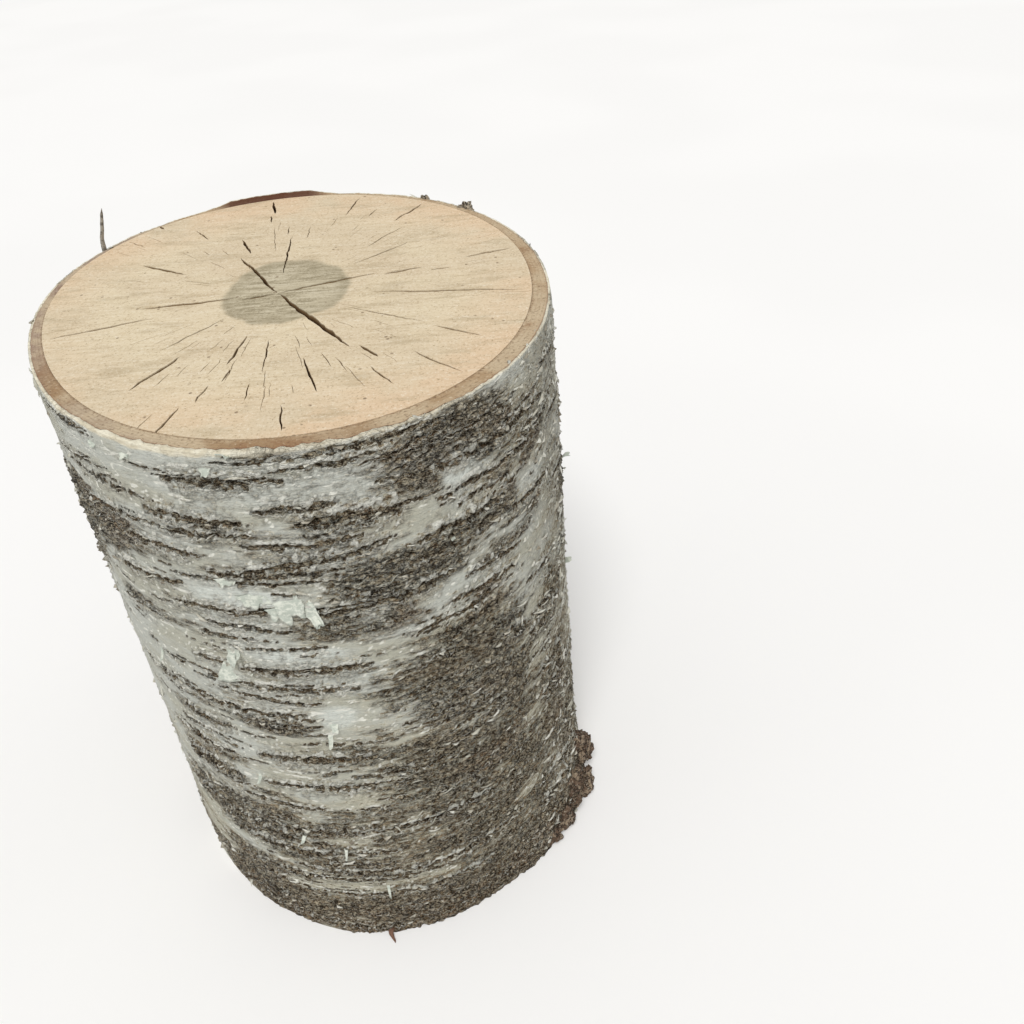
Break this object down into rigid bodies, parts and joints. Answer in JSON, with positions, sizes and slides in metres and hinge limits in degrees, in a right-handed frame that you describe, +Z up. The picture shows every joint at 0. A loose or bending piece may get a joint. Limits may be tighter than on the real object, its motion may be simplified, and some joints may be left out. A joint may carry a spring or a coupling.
{
  "type": "birch log",
  "caption": "Short upright round of birch trunk, sawn flat at both ends, with pale papery bark in dark broken bands and drying checks that open in the cut wood.",
  "frame": {"origin": "on the floor under the middle of the whole shape", "axes": "+Z up along the trunk, out of the upper sawn end; -Y is the side that faces the picture's camera"},
  "size_m": [0.2913, 0.3231, 0.369],
  "materials": {
    "wood": "sawn across the grain, dry, matt",
    "bark": "papery birch bark, dull, with rough dark bands"
  },
  "bodies": {
    "root": {"wood": "wood", "bark": "bark"}
  },
  "joints": []
}
